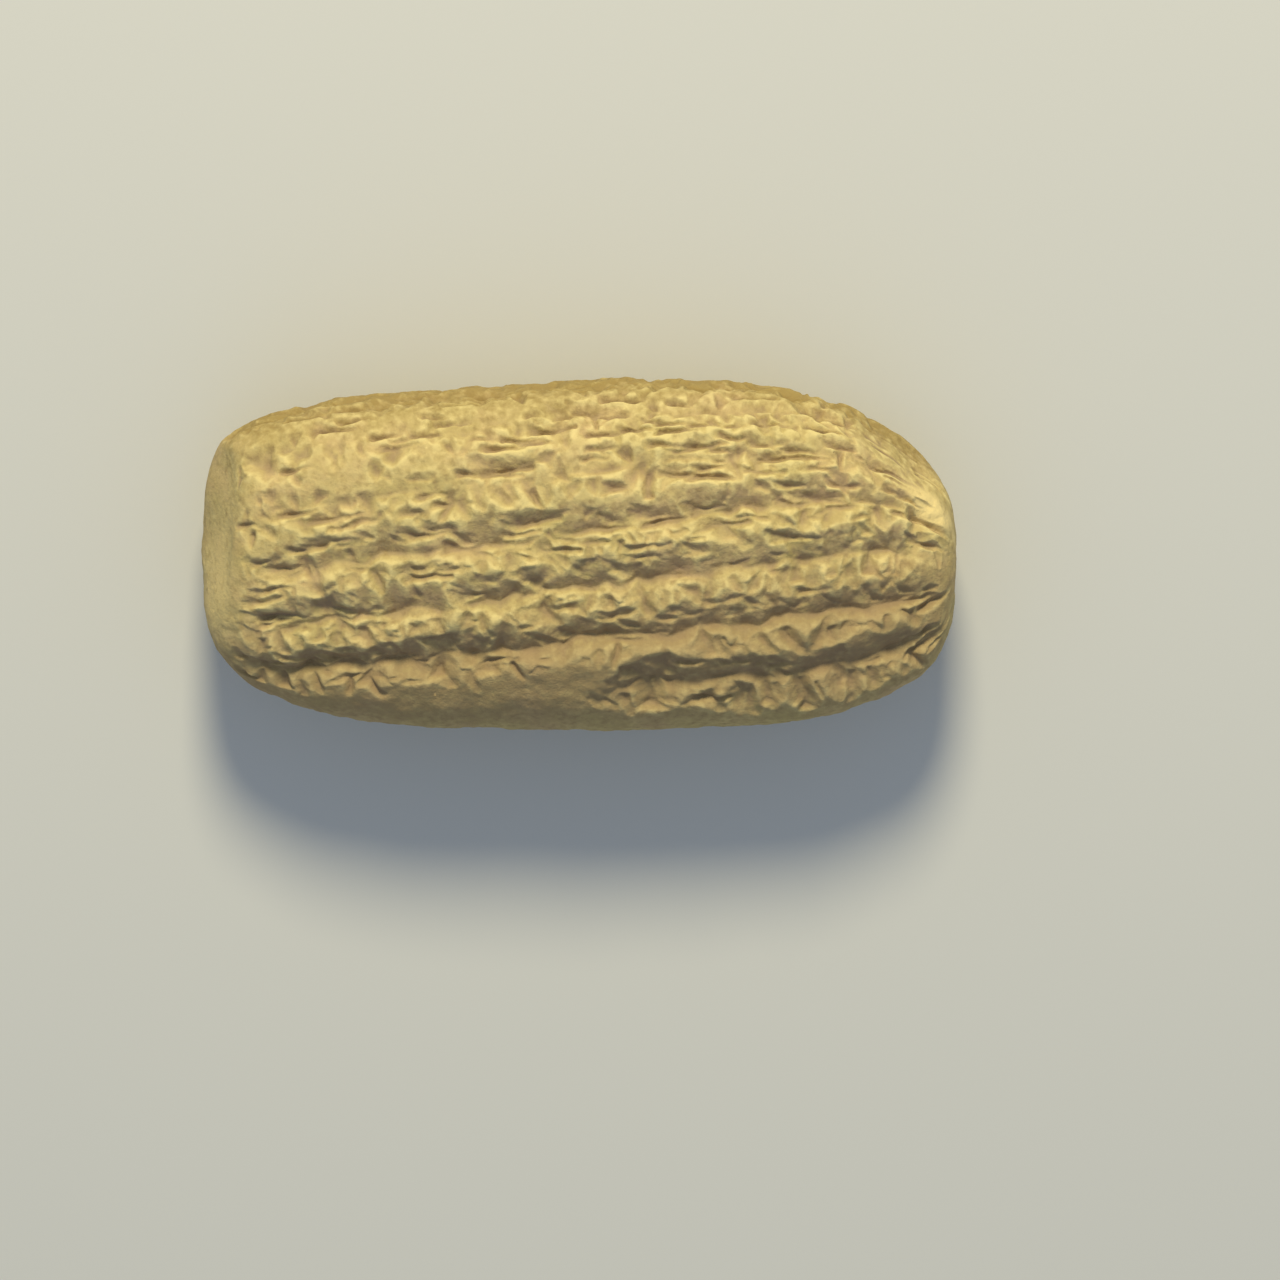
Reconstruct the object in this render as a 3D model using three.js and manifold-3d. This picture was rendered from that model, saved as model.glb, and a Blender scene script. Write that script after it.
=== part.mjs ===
// A cuneiform tablet: one pillow of clay, wider than high, lying on its back with its written face up.
// X runs along the written rows, Y runs up the face to its top edge, and Z stands out of the face.
// The origin is the middle of the small flat on the back that the tablet rests on. Sizes are millimetres.

import * as THREE from 'three';
import { ConvexGeometry } from 'three/addons/geometries/ConvexGeometry.js';
import { ParametricGeometry } from 'three/addons/geometries/ParametricGeometry.js';
import { mergeVertices } from 'three/addons/utils/BufferGeometryUtils.js';
import Module from 'manifold-3d';

// The pillow
const LENGTH = 90.8;
const HEIGHT = 42.4;
const FACE_CROWN = 12.5;
const BACK_CROWN = 13.5;
const REST_CUT = 0.8;
const RIM_Z = BACK_CROWN - REST_CUT;
const HALF_LENGTH = LENGTH / 2;

// Powers of the curves that bound the pillow: 2 is an ellipse, and a higher power is squarer.
const CORNER_POWER = { topLeft: 4.6, topRight: 2.4, bottomLeft: 3.4, bottomRight: 3.3 };
const CROWN_POWER = 3.2;
const SECTION_POWER = 2.3;

// The share by which the top edge rises to the right end and falls to the left.
const TOP_TILT = 0.13;

// The written rows. Girth is the distance round the middle section from the middle of the face, positive
// upwards. The rows climb to the right by a slope and a bend, which spreads them, curl down left of a
// place, and lie level past the edge of the fan. The last row starts past the middle, and the others start
// unevenly.
const ROW_COUNT = 7;
const ROW_PITCH = 7.05;
const TOP_ROW_GIRTH = 27.6;
const ROW_SLOPE = 0.15;
const ROW_BEND = -0.0004;
const ROW_SPREAD = 0.00012;
const ROW_CURL = 0.01;
const ROW_CURL_PLACE = -24;
const ROW_FAN = 36.5;
const ROW_START = -42.5;
const ROW_START_DRIFT = 3;
const ROW_END = 43.5;
const LAST_ROW_START = 2;

// The grooves that the rows have worn into: how deep they are, and how wide the wall above and the lip
// below are, at the top of the face and in its lower rows, with the girths between which they change.
// A groove is drawn through knots, fades at its ends, and has lost depth in patches up the face.
const GROOVES = { top: { depth: 1, wall: 3, lip: 0.8 }, low: { depth: 1.9, wall: 5.2, lip: 1.7 } };
const GROOVE_TOP_GIRTH = 17;
const GROOVE_LOW_GIRTH = 1;
const GROOVE_FADE = 5;
const GROOVE_REACH = 2.2;
const GROOVE_HEADROOM = 4;
const KNOT_SPACING = 1.8;
const KNOT_JAG = 0.5;
const KNOT_SPREAD = { depth: 0.3, wall: 0.25, lip: 0.35 };
const PATCH_KNOTS = 5;
const PATCH_LOSS = 0.6;

// Presses of a stylus: the size of each kind, the width of its foot, the share of its length at which it
// is deepest, how far the outline leans to one side of that point, and the way its tail points. A press
// is placed by its deepest point.
const PRESSES = {
  upright: { length: 4.6, width: 2.6, foot: 0.5, depth: 1.3, deepest: 0.35, lean: 0, turn: -90, spread: 24 },
  level: { length: 6.5, width: 2.2, foot: 0.3, depth: 1.1, deepest: 0.3, lean: -0.55, turn: -4, spread: 8 },
  slant: {
    length: 4.4, width: 2.4, foot: 0.4, depth: 1.2, deepest: 0.4, lean: 0,
    turn: -50, spread: 22, mirrors: true,
  },
  chip: { length: 5, width: 5, foot: 2, depth: 1, deepest: 0.45, lean: 0, turn: 0, spread: 180 },
};
const STROKE_SHARES = { upright: 0.3, level: 0.45, slant: 0.25 };
const PRESS_SIZE_SPREAD = 0.25;
const STROKE_SPACING = 2.8;
const STROKE_DRIFT = 2.4;
const CHIP_SPACING = 4.8;
const CHIP_GIRTH = 31;
const CHIP_DRIFT = 1.8;
const STYLUS_REACH = 1.6;

// Wear: the face is rubbed most at its top left. Presses are shallower there, and fewer are left there
// and higher up.
const RUBBED_GIRTHS = [2, 14];
const RUBBED_PLACES = [12, -10];
const RUBBED_DEPTH = 0.2;
const RUBBED_STROKES = 0.2;
const HIGH_GIRTHS = [6, 22];
const HIGH_STROKES = 0.25;

// Places that the rows leave out, with their half sizes: a bar across two rows and the knob at the right
// end. A press that still reaches one is shallower by this share.
const SPARED = [
  { x: -14.5, girth: -1.7, halfX: 1.4, halfGirth: 4.2 },
  { x: 43, girth: 10, halfX: 4, halfGirth: 5.5 },
];
const SPARED_DEPTH = 0.85;

// Where the numbers drawn by chance start for each kind of mark, how far apart the rows' numbers are, and
// the part of a number that tells the draws for one mark from each other.
const KEYS = { stroke: 1, rowStart: 3001, knot: 5001, patch: 6001, chip: 7001 };
const KEYS_PER_ROW = 100;
const DRAWS = { size: 0.1, mirror: 0.2, turn: 0.3, place: 0.4, girth: 0.5, shown: 0.6 };
const KNOT_DRAWS = { bottom: 0.1, depth: 0.2, wall: 0.3, lip: 0.4 };

// Marks that stand out from the rows: a crack below the top edge, a step in that edge and a hollow by the
// left end.
const MARKS = [
  { x: 2.2, girth: 20.5, length: 9, width: 1.8, foot: 0.6, depth: 1.3, deepest: 0.4, lean: 0.5, turn: -82 },
  { x: 7.8, girth: 31, length: 4, width: 2.4, foot: 2, depth: 1.2, deepest: 0.5, lean: 0.3, turn: 90 },
  { x: -38.5, girth: -0.7, length: 5, width: 5, foot: 2.5, depth: 1.1, deepest: 0.45, lean: 0, turn: -90 },
];

// Broken and rubbed flats on the ends and the top right corner, as outward directions and distances from
// the origin.
const FLATS = {
  leftEnd: { way: [-0.9, 0.155, 0.41], distance: 45.7 },
  rightKnob: { way: [0.62, 0.45, 0.64], distance: 43 },
  topRight: { way: [0.62, 0.75, 0.22], distance: 36.6 },
};

// Facets of the smooth pillow
const COLUMNS = 36;
const LINES = 32;
const CURVE_SAMPLES = 720;

const wasm = await Module();
wasm.setup();

// A number from 0 to 1 that looks random and is the same each time for the same key.
function chance(key) {
  const wave = Math.sin(key * 12.9898) * 43758.5453;
  return wave - Math.floor(wave);
}

// A number from -1 to 1, in the same way.
function swing(key) {
  return 2 * chance(key) - 1;
}

function smoothStep(low, high, value) {
  const t = THREE.MathUtils.clamp((value - low) / (high - low), 0, 1);
  return t * t * (3 - 2 * t);
}

// The share of a full size that is left at x, on a curve of that power that closes at both ends.
function shareAt(x, power) {
  const used = Math.pow(Math.min(1, Math.abs(x) / HALF_LENGTH), power);
  return Math.pow(1 - used, 1 / power);
}

// A point of the smooth pillow. Angle 0 is the middle of the face, a quarter turn up is the top rim.
function pillowAt(x, angle) {
  const up = Math.sin(angle);
  const out = Math.cos(angle);
  const sum = Math.pow(Math.abs(up), SECTION_POWER) + Math.pow(Math.abs(out), SECTION_POWER);
  const reach = Math.pow(sum, -1 / SECTION_POWER);
  const corner = (up > 0 ? 'top' : 'bottom') + (x < 0 ? 'Left' : 'Right');
  const tilt = 1 + (up > 0 ? TOP_TILT : 0) * (x / HALF_LENGTH);
  const rim = (HEIGHT / 2) * shareAt(x, CORNER_POWER[corner]) * tilt;
  const crown = (out > 0 ? FACE_CROWN : BACK_CROWN) * shareAt(x, CROWN_POWER);
  return new THREE.Vector3(x, rim * reach * up, RIM_Z + crown * reach * out);
}

// Lengths along a curve, so that a place on it can be found by its distance from the start.
function measure(curve) {
  const lengths = [0];
  for (let i = 1; i <= CURVE_SAMPLES; i++) {
    const step = curve(i / CURVE_SAMPLES).distanceTo(curve((i - 1) / CURVE_SAMPLES));
    lengths.push(lengths[i - 1] + step);
  }
  return lengths;
}

function placeAt(lengths, distance) {
  const last = lengths.length - 1;
  const next = Math.min(last, Math.max(1, lengths.findIndex((length) => length >= distance)));
  const along = (distance - lengths[next - 1]) / (lengths[next] - lengths[next - 1]);
  return (next - 1 + THREE.MathUtils.clamp(along, 0, 1)) / last;
}

const girths = measure((t) => pillowAt(0, t * Math.PI));
const HALF_GIRTH = girths[CURVE_SAMPLES];
const edgeX = (t) => HALF_LENGTH * Math.sin((t - 0.5) * Math.PI);
const edges = measure((t) => pillowAt(edgeX(t), Math.PI / 2));

function angleAt(girth) {
  return Math.sign(girth) * Math.PI * placeAt(girths, Math.abs(girth));
}

// The rows climb to the right, spread apart and curl down at their left end, most in the middle of the face
// and not at all past the edge of the fan.
function rowClimb(x, girth) {
  const fan = 0.5 + 0.5 * Math.cos(Math.PI * THREE.MathUtils.clamp(girth / ROW_FAN, -1, 1));
  const curled = Math.min(0, x - ROW_CURL_PLACE);
  const bend = ROW_BEND + ROW_SPREAD * girth;
  return (ROW_SLOPE * x + bend * x * x - ROW_CURL * curled * curled) * fan;
}

function smoothPoint(x, girth) {
  return pillowAt(x, angleAt(girth + rowClimb(x, girth)));
}

// The frame of the face at a place: along the row, up across it, and out of the clay.
function frameAt(x, girth) {
  const step = 0.05;
  const along = smoothPoint(x + step, girth).sub(smoothPoint(x - step, girth)).normalize();
  const across = smoothPoint(x, girth + step).sub(smoothPoint(x, girth - step)).normalize();
  const out = along.clone().cross(across).normalize();
  return { along, across: out.clone().cross(along), out };
}

// A closed geometry as a solid that can be cut.
function solidOf(geometry) {
  geometry.deleteAttribute('normal');
  geometry.deleteAttribute('uv');
  const merged = mergeVertices(geometry, 1e-4);
  const vertProperties = merged.getAttribute('position').array;
  const index = merged.index.array;
  const triVerts = [];
  for (let i = 0; i < index.length; i += 3) {
    const [a, b, c] = index.slice(i, i + 3);
    if (a !== b && b !== c && c !== a) triVerts.push(a, b, c);
  }
  return new wasm.Manifold(
    new wasm.Mesh({ numProp: 3, vertProperties, triVerts: new Uint32Array(triVerts) }),
  );
}

function geometryOf(solid) {
  const mesh = solid.getMesh();
  const geometry = new THREE.BufferGeometry();
  geometry.setAttribute('position', new THREE.BufferAttribute(mesh.vertProperties, 3));
  geometry.setIndex(new THREE.BufferAttribute(mesh.triVerts, 1));
  geometry.computeVertexNormals();
  return geometry;
}

function pillow() {
  const place = (u, v, target) => {
    const x = edgeX(placeAt(edges, u * edges[CURVE_SAMPLES]));
    target.copy(smoothPoint(x, (2 * v - 1) * HALF_GIRTH));
  };
  return solidOf(new ParametricGeometry(place, COLUMNS, LINES));
}

// How far the face is rubbed: fully at the top left, and not in the lower rows.
function rubbedAt(x, girth) {
  return smoothStep(...RUBBED_GIRTHS, girth) * smoothStep(...RUBBED_PLACES, x);
}

// How far a place is spared by the rows: fully at its middle, fading out as a bell curve.
function sparedAt(x, girth) {
  const shares = SPARED.map((spot) => {
    const away = ((x - spot.x) / spot.halfX) ** 2 + ((girth - spot.girth) / spot.halfGirth) ** 2;
    return Math.exp(-away * away);
  });
  return Math.max(...shares);
}

// The share of its depth that a press keeps.
function wearAt(x, girth) {
  return (1 - RUBBED_DEPTH * rubbedAt(x, girth)) * (1 - SPARED_DEPTH * sparedAt(x, girth));
}

// The share of the strokes still to be seen.
function shownShare(x, girth) {
  const lost = RUBBED_STROKES * rubbedAt(x, girth) + HIGH_STROKES * smoothStep(...HIGH_GIRTHS, girth);
  return (1 - lost) * (1 - sparedAt(x, girth));
}

function rowGirth(row) {
  return TOP_ROW_GIRTH - row * ROW_PITCH;
}

function rowStart(row) {
  const isLast = row === ROW_COUNT - 1;
  return isLast ? LAST_ROW_START : ROW_START + ROW_START_DRIFT * chance(KEYS.rowStart + row);
}

// The groove of a row as a bar to cut away: at each knot a four-cornered section that opens from the
// bottom of the groove out past the clay.
function groove(row) {
  const girth = rowGirth(row);
  const start = rowStart(row);
  const last = Math.floor((ROW_END - start) / KNOT_SPACING);
  const low = smoothStep(GROOVE_TOP_GIRTH, GROOVE_LOW_GIRTH, girth);
  const rings = [];
  for (let knot = 0; knot <= last; knot++) {
    const x = start + knot * KNOT_SPACING;
    const key = KEYS.knot + row * KEYS_PER_ROW + knot;
    const patch = KEYS.patch + row * KEYS_PER_ROW + Math.floor(knot / PATCH_KNOTS);
    const fromEnd = Math.min(knot, last - knot) * KNOT_SPACING;
    const size = (name) => {
      const full = THREE.MathUtils.lerp(GROOVES.top[name], GROOVES.low[name], low);
      return full * (1 + KNOT_SPREAD[name] * swing(key + KNOT_DRAWS[name]));
    };
    const patchLoss = PATCH_LOSS * (1 - low) * chance(patch);
    const kept = smoothStep(0, GROOVE_FADE, fromEnd) * wearAt(x, girth) * (1 - patchLoss);
    const middle = girth + KNOT_JAG * swing(key + KNOT_DRAWS.bottom);
    const { out } = frameAt(x, middle);
    const bottom = smoothPoint(x, middle).addScaledVector(out, -size('depth') * kept);
    const edge = (edgeGirth) => {
      const way = smoothPoint(x, edgeGirth).sub(bottom);
      return bottom.clone().addScaledVector(way, GROOVE_REACH);
    };
    const roof = bottom.clone().addScaledVector(out, GROOVE_HEADROOM);
    const isEnd = knot === 0 || knot === last;
    rings.push(isEnd ? [bottom] : [bottom, edge(middle + size('wall')), roof, edge(middle - size('lip'))]);
  }
  const place = (u, v, target) => {
    const ring = rings[Math.round(v * last)];
    target.copy(ring[Math.round(u * 4) % ring.length]);
  };
  return solidOf(new ParametricGeometry(place, 4, last));
}

// The corner of a stylus in the clay: an outline from its head to its foot, and the deepest point below
// it.
function stylus({ x, girth, length, width, foot, depth, deepest, lean, turn }) {
  const { along, across, out } = frameAt(x, girth);
  const angle = THREE.MathUtils.degToRad(turn);
  const tailway = along.clone().multiplyScalar(Math.cos(angle)).addScaledVector(across, Math.sin(angle));
  const sideway = out.clone().cross(tailway);
  const place = (tail, side) =>
    smoothPoint(x, girth).addScaledVector(tailway, tail).addScaledVector(sideway, side);
  const head = -deepest * length;
  const tail = (1 - deepest) * length;
  const middle = (-lean * width) / 2;
  const lowest = place(0, 0).addScaledVector(out, -depth);
  const corners = [
    place(head, middle + width / 2),
    place(head, middle - width / 2),
    place(tail, middle + foot / 2),
  ];
  if (foot > 0) corners.push(place(tail, middle - foot / 2));
  for (const corner of corners) corner.sub(lowest).multiplyScalar(STYLUS_REACH).add(lowest);
  return solidOf(new ConvexGeometry([lowest, ...corners]));
}

// One press of a kind, with its size, turn and place changed a little by chance.
function drawnPress(kind, key, x, lineGirth, drift) {
  const size = 1 + PRESS_SIZE_SPREAD * swing(key + DRAWS.size);
  const mirrored = kind.mirrors && chance(key + DRAWS.mirror) < 0.5;
  const turn = (mirrored ? -180 - kind.turn : kind.turn) + kind.spread * swing(key + DRAWS.turn);
  const girth = lineGirth + drift * swing(key + DRAWS.girth);
  const length = kind.length * size;
  const width = kind.width * size;
  const foot = kind.foot * size;
  const depth = kind.depth * size * wearAt(x, girth);
  return stylus({ ...kind, x, girth, length, width, foot, depth, turn });
}

function strokeKind(draw) {
  let sum = 0;
  for (const [name, share] of Object.entries(STROKE_SHARES)) {
    sum += share;
    if (draw < sum) return PRESSES[name];
  }
  return PRESSES.slant;
}

// Presses along a row, one in each space that still shows one, at a place drawn by chance, so that they
// spell nothing.
function rowOfPresses(start, spacing, firstKey, girth, drift, kindFor, shown) {
  const made = [];
  const count = Math.floor((ROW_END - start) / spacing);
  for (let i = 0; i < count; i++) {
    const key = firstKey + i;
    const x = start + (i + chance(key + DRAWS.place)) * spacing;
    const isShown = chance(key + DRAWS.shown) < shown(x, girth);
    if (isShown) made.push(drawnPress(kindFor(key), key, x, girth, drift));
  }
  return made;
}

// Everything that is pressed or broken out of the face.
function presses() {
  const made = [];
  const always = () => 1;
  const stroke = (key) => strokeKind(chance(key));
  const chip = () => PRESSES.chip;
  for (let row = 0; row < ROW_COUNT; row++) {
    const firstKey = KEYS.stroke + row * KEYS_PER_ROW;
    const strokes = rowOfPresses(
      rowStart(row), STROKE_SPACING, firstKey, rowGirth(row), STROKE_DRIFT, stroke, shownShare,
    );
    made.push(groove(row), ...strokes);
  }
  made.push(...rowOfPresses(ROW_START, CHIP_SPACING, KEYS.chip, CHIP_GIRTH, CHIP_DRIFT, chip, always));
  made.push(...MARKS.map(stylus));
  return made;
}

// Everything beyond a flat, as a block to cut away.
function beyond(flat) {
  const block = new THREE.BoxGeometry(LENGTH, LENGTH, LENGTH);
  const way = new THREE.Vector3(...flat.way).normalize();
  block.applyQuaternion(new THREE.Quaternion().setFromUnitVectors(new THREE.Vector3(0, 0, 1), way));
  const middle = way.multiplyScalar(flat.distance + LENGTH / 2);
  block.translate(middle.x, middle.y, middle.z);
  return solidOf(block);
}

function tablet() {
  let clay = pillow();
  for (const press of presses()) clay = clay.subtract(press);
  for (const flat of Object.values(FLATS)) clay = clay.subtract(beyond(flat));
  clay = clay.subtract(beyond({ way: [0, 0, -1], distance: 0 }));
  const material = new THREE.MeshStandardMaterial({ color: 0xc4a86a, roughness: 0.9, metalness: 0 });
  const mesh = new THREE.Mesh(geometryOf(clay), material);
  mesh.name = 'clay_tablet';
  return mesh;
}

const part = new THREE.Group();
part.add(tablet());

export default part;
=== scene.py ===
"""A cuneiform tablet: a pillow of dry tan clay on its back, with rows of pressed strokes on its face.

The piece is a closed surface over two parameters: x along the rows and girth round the section. Everything
pressed, worn or broken into the clay is a depth below the smooth pillow, and what that does to the colour
is an attribute. Sizes are millimetres unless a comment says otherwise.
"""

import math

import bpy
import numpy as np
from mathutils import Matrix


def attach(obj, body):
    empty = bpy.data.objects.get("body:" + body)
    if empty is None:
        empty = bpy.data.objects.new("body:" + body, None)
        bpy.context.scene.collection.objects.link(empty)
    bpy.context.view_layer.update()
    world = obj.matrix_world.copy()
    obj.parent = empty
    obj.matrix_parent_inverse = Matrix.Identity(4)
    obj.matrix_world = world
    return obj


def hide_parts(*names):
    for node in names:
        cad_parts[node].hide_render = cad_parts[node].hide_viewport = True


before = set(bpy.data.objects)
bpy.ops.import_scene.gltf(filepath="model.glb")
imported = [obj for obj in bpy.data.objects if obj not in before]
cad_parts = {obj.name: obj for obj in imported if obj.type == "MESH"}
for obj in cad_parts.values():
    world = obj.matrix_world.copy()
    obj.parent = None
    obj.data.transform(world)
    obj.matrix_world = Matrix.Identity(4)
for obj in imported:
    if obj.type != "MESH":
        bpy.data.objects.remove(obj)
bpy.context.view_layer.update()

MM = 0.001

# The pillow, as the solid has it.
LENGTH = 90.8
HEIGHT = 42.4
FACE_CROWN = 12.5
BACK_CROWN = 13.5
REST_CUT = 0.8
RIM_Z = BACK_CROWN - REST_CUT
HALF_LENGTH = LENGTH / 2

# Powers of the curves that bound it: 2 is an ellipse, and a higher power is squarer.
CORNER_POWER = {"top_left": 4.6, "top_right": 2.4, "bottom_left": 3.4, "bottom_right": 3.3}
CROWN_POWER = 3.2
SECTION_POWER = 2.3

# The share by which the top edge rises to the right end and falls to the left.
TOP_TILT = 0.13

# The written rows, as the solid has them. Girth is measured from the middle of the face, positive upwards.
ROW_COUNT = 7
ROW_PITCH = 7.05
TOP_ROW_GIRTH = 27.6
ROW_SLOPE = 0.15
ROW_BEND = -0.0004
ROW_SPREAD = 0.00012
ROW_CURL = 0.01
ROW_CURL_PLACE = -24.0
ROW_FAN = 36.5
ROW_START = -42.5
ROW_START_DRIFT = 3.0
ROW_END = 43.5
LAST_ROW_START = 2.0

# The grooves that the rows have worn into, as the solid has them: how deep they are, and how wide the wall
# above and the lip below are, at the top of the face and in its lower rows, with the girths between which
# they change. A groove is drawn through knots, fades at its ends and has lost depth in patches up the face.
# Its wall steepens towards the bottom by the wall's power.
GROOVES = {"top": dict(depth=1.0, wall=3.0, lip=0.8), "low": dict(depth=1.9, wall=5.2, lip=1.7)}
GROOVE_TURNS = (17.0, 1.0)
GROOVE_FADE = 5.0
KNOT_SPACING = 1.8
KNOT_JAG = 0.5
KNOT_SPREAD = {"depth": 0.3, "wall": 0.25, "lip": 0.35}
PATCH_KNOTS = 5
PATCH_LOSS = 0.6
WALL_POWER = 1.35

# Presses of the stylus and chips out of the rim, as the solid has them: the size of each kind, the width of
# its foot, the share of its length at which it is deepest, how far its outline leans to one side of that
# point, and the way its tail points, in degrees.
PRESSES = {
    "upright": dict(
        length=4.6, width=2.6, foot=0.5, depth=1.3, deepest=0.35, lean=0.0, turn=-90.0, spread=24.0),
    "level": dict(
        length=6.5, width=2.2, foot=0.3, depth=1.1, deepest=0.3, lean=-0.55, turn=-4.0, spread=8.0),
    "slant": dict(
        length=4.4, width=2.4, foot=0.4, depth=1.2, deepest=0.4, lean=0.0, turn=-50.0, spread=22.0,
        mirrors=True),
    "chip": dict(
        length=5.0, width=5.0, foot=2.0, depth=1.0, deepest=0.45, lean=0.0, turn=0.0, spread=180.0),
}
STROKE_SHARES = {"upright": 0.3, "level": 0.45, "slant": 0.25}
PRESS_SIZE_SPREAD = 0.25
STROKE_SPACING = 2.8
STROKE_DRIFT = 2.4
CHIP_SPACING = 4.8
CHIP_GIRTH = 31.0
CHIP_DRIFT = 1.8

# Marks that stand out from the rows: a crack below the top edge, a step in that edge and a hollow by the
# left end.
MARKS = [
    dict(
        x=2.2, girth=20.5, length=9.0, width=1.8, foot=0.6, depth=1.3, deepest=0.4, lean=0.5, turn=-82.0),
    dict(
        x=7.8, girth=31.0, length=4.0, width=2.4, foot=2.0, depth=1.2, deepest=0.5, lean=0.3, turn=90.0),
    dict(
        x=-38.5, girth=-0.7, length=5.0, width=5.0, foot=2.5, depth=1.1, deepest=0.45, lean=0.0, turn=-90.0),
]

# Lesser cuts, too small for the solid, which are pressed into what is already there: ticks between the
# strokes, teeth across the lips of the grooves, and slits along the level strokes. Ticks are shallower in
# the lower rows, teeth are fewer at the left of the low rows, and slits are up to twice as deep up the
# face.
TICKS = {
    "upright": dict(
        length=2.8, width=1.6, foot=0.4, depth=0.5, deepest=0.35, lean=0.0, turn=-90.0, spread=26.0),
    "level": dict(
        length=4.8, width=1.3, foot=0.3, depth=0.85, deepest=0.3, lean=-0.65, turn=-4.0, spread=8.0),
    "slant": dict(
        length=2.6, width=1.5, foot=0.3, depth=0.5, deepest=0.4, lean=0.0, turn=-50.0, spread=25.0,
        mirrors=True),
}
TICK_SPACING = 1.15
TICK_DRIFT = 3.0
TICK_LOSS = 0.25
TICK_LOSS_GIRTHS = (9.0, -3.0)
TOOTH = dict(length=3.6, width=3.0, foot=0.4, depth=0.6, deepest=0.4, lean=0.0, turn=-85.0, spread=40.0)
TOOTH_SPACING = 3.0
TOOTH_DRIFT = 0.6
TOOTH_LOSS = 0.8
TOOTH_LOSS_GIRTHS = (-2.0, -8.0)
TOOTH_LOSS_PLACES = (25.0, 0.0)
SLIT = dict(length=4.2, width=0.8, foot=0.25, depth=0.5, lean=-0.2)
SLIT_LOWEST_GIRTH = 0.0
SLIT_DEEPENS = (4.0, 24.0)

# The share of the depth already there from which a lesser cut starts, and the clay that a press pushes up.
SINK = 0.8
PUSHED_HEIGHT = 0.12
PUSHED_WIDTH = 0.25

# Wear, as the solid has it: the face is rubbed most at its top left. Presses are shallower there, and fewer
# are left there and higher up.
RUBBED_GIRTHS = (2.0, 14.0)
RUBBED_PLACES = (12.0, -10.0)
RUBBED_DEPTH = 0.2
RUBBED_STROKES = 0.2
HIGH_GIRTHS = (6.0, 22.0)
HIGH_STROKES = 0.25

# Places that the rows leave out, as the solid has them, with their half sizes: a bar across two rows and
# the knob at the right end. A press that still reaches one is shallower by this share.
SPARED = [
    dict(x=-14.5, girth=-1.7, half_x=1.4, half_girth=4.2, strength=1.0),
    dict(x=43.0, girth=10.0, half_x=4.0, half_girth=5.5, strength=1.0),
]
SPARED_DEPTH = 0.85

# Broken and rubbed flats on the ends and the top right corner, as outward directions and distances from the
# origin, and how softly they meet the clay beside them.
FLATS = {
    "left_end": dict(way=(-0.90, 0.155, 0.41), distance=45.7),
    "right_knob": dict(way=(0.62, 0.45, 0.64), distance=43.0),
    "top_right": dict(way=(0.62, 0.75, 0.22), distance=36.6),
}
FLAT_SOFTNESS = 0.45

# Unevenness as layers of noise, each with its height, its size and its seed: in the flats, in the outlines
# of the presses along three axes, over the whole pillow and in the grain of the clay.
FLAT_UNEVENNESS = [(0.35, 4.0, 5)]
WOBBLE = [(0.3, 1.7, 0), (0.08, 0.7, 3)]
WOBBLE_SEEDS = (11, 12, 13)
SWELL = [(0.25, 14.0, 1), (0.12, 6.0, 2)]
GRAIN = [(0.16, 2.6, 6), (0.08, 1.2, 3), (0.04, 0.6, 4)]

# How often the relief is averaged with its neighbours: to wear the crests between the strokes down to
# little above their surroundings, to round every edge, to find the walls that face down, which take painted
# shade, and to find what is hollow.
CREST_ROUNDS = 10
CREST_HEIGHT = 0.05
EDGE_ROUNDS = 1
WALL_SHADE_ROUNDS = 6
HOLLOW_ROUNDS = 40

# What the relief does to the colour. The slope of a wall facing down that takes full painted shade and the
# depth that is fully hollow, the girths and places between which the painted shade on the walls, the browned
# and shaded rim and the painted shade of the low rows come in, and the share of the painted wall shade that
# the top of the face keeps.
FULLY_SHADED_SLOPE = 0.5
WALL_SHADE_TOP_SHARE = 0.25
WALL_SHADE_GIRTHS = (22.0, 2.0)
HOLLOW_DEPTH = 0.35
RIM_FRONT = (18.0, 30.0)
RIM_BACK = (46.0, 38.0)
RIM_ENDS = (45.0, 39.0)
# Painted shade over the lower rows: darker from the middle of the face down, fading out towards the
# underside and the ends.
LOW_SHADE_TOP = (3.0, -10.0)
LOW_SHADE_BOTTOM = (-26.0, -15.0)
LOW_SHADE_ENDS = (46.0, 42.0)

# Pale patches, partly rubbed clay and partly painted light: the knob at the right end and the bare left end,
# with their half sizes.
PALE_SPOTS = [
    dict(x=43.0, girth=10.0, half_x=3.5, half_girth=5.0, strength=1.0),
    dict(x=-44.5, girth=2.0, half_x=3.0, half_girth=14.0, strength=0.5),
]

# Where the numbers drawn by chance start for each kind of mark, how far apart the rows' numbers are, the
# part of a number that tells the draws for one mark from each other, and the sine that they are drawn from.
KEYS = {
    "stroke": 1, "row_start": 3001, "knot": 5001, "patch": 6001, "chip": 7001, "tick": 9001, "tooth": 13001,
}
KEYS_PER_ROW = 100
DRAWS = {"size": 0.1, "mirror": 0.2, "turn": 0.3, "place": 0.4, "girth": 0.5, "shown": 0.6}
KNOT_DRAWS = {"bottom": 0.1, "depth": 0.2, "wall": 0.3, "lip": 0.4}
SINE_STEP = 12.9898
SINE_HEIGHT = 43758.5453

# The grid of the surface: fine where the writing is, coarse round the back and over the ends.
FINE_STEP = 0.16
COARSE_STEP = 0.9
FINE_GIRTH = (-25.0, 33.0)
FINE_X = 43.5
POLE_MARGIN = 0.1
TABLE_SAMPLES = 4000
MOST_TRIANGLES = 190000

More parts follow.
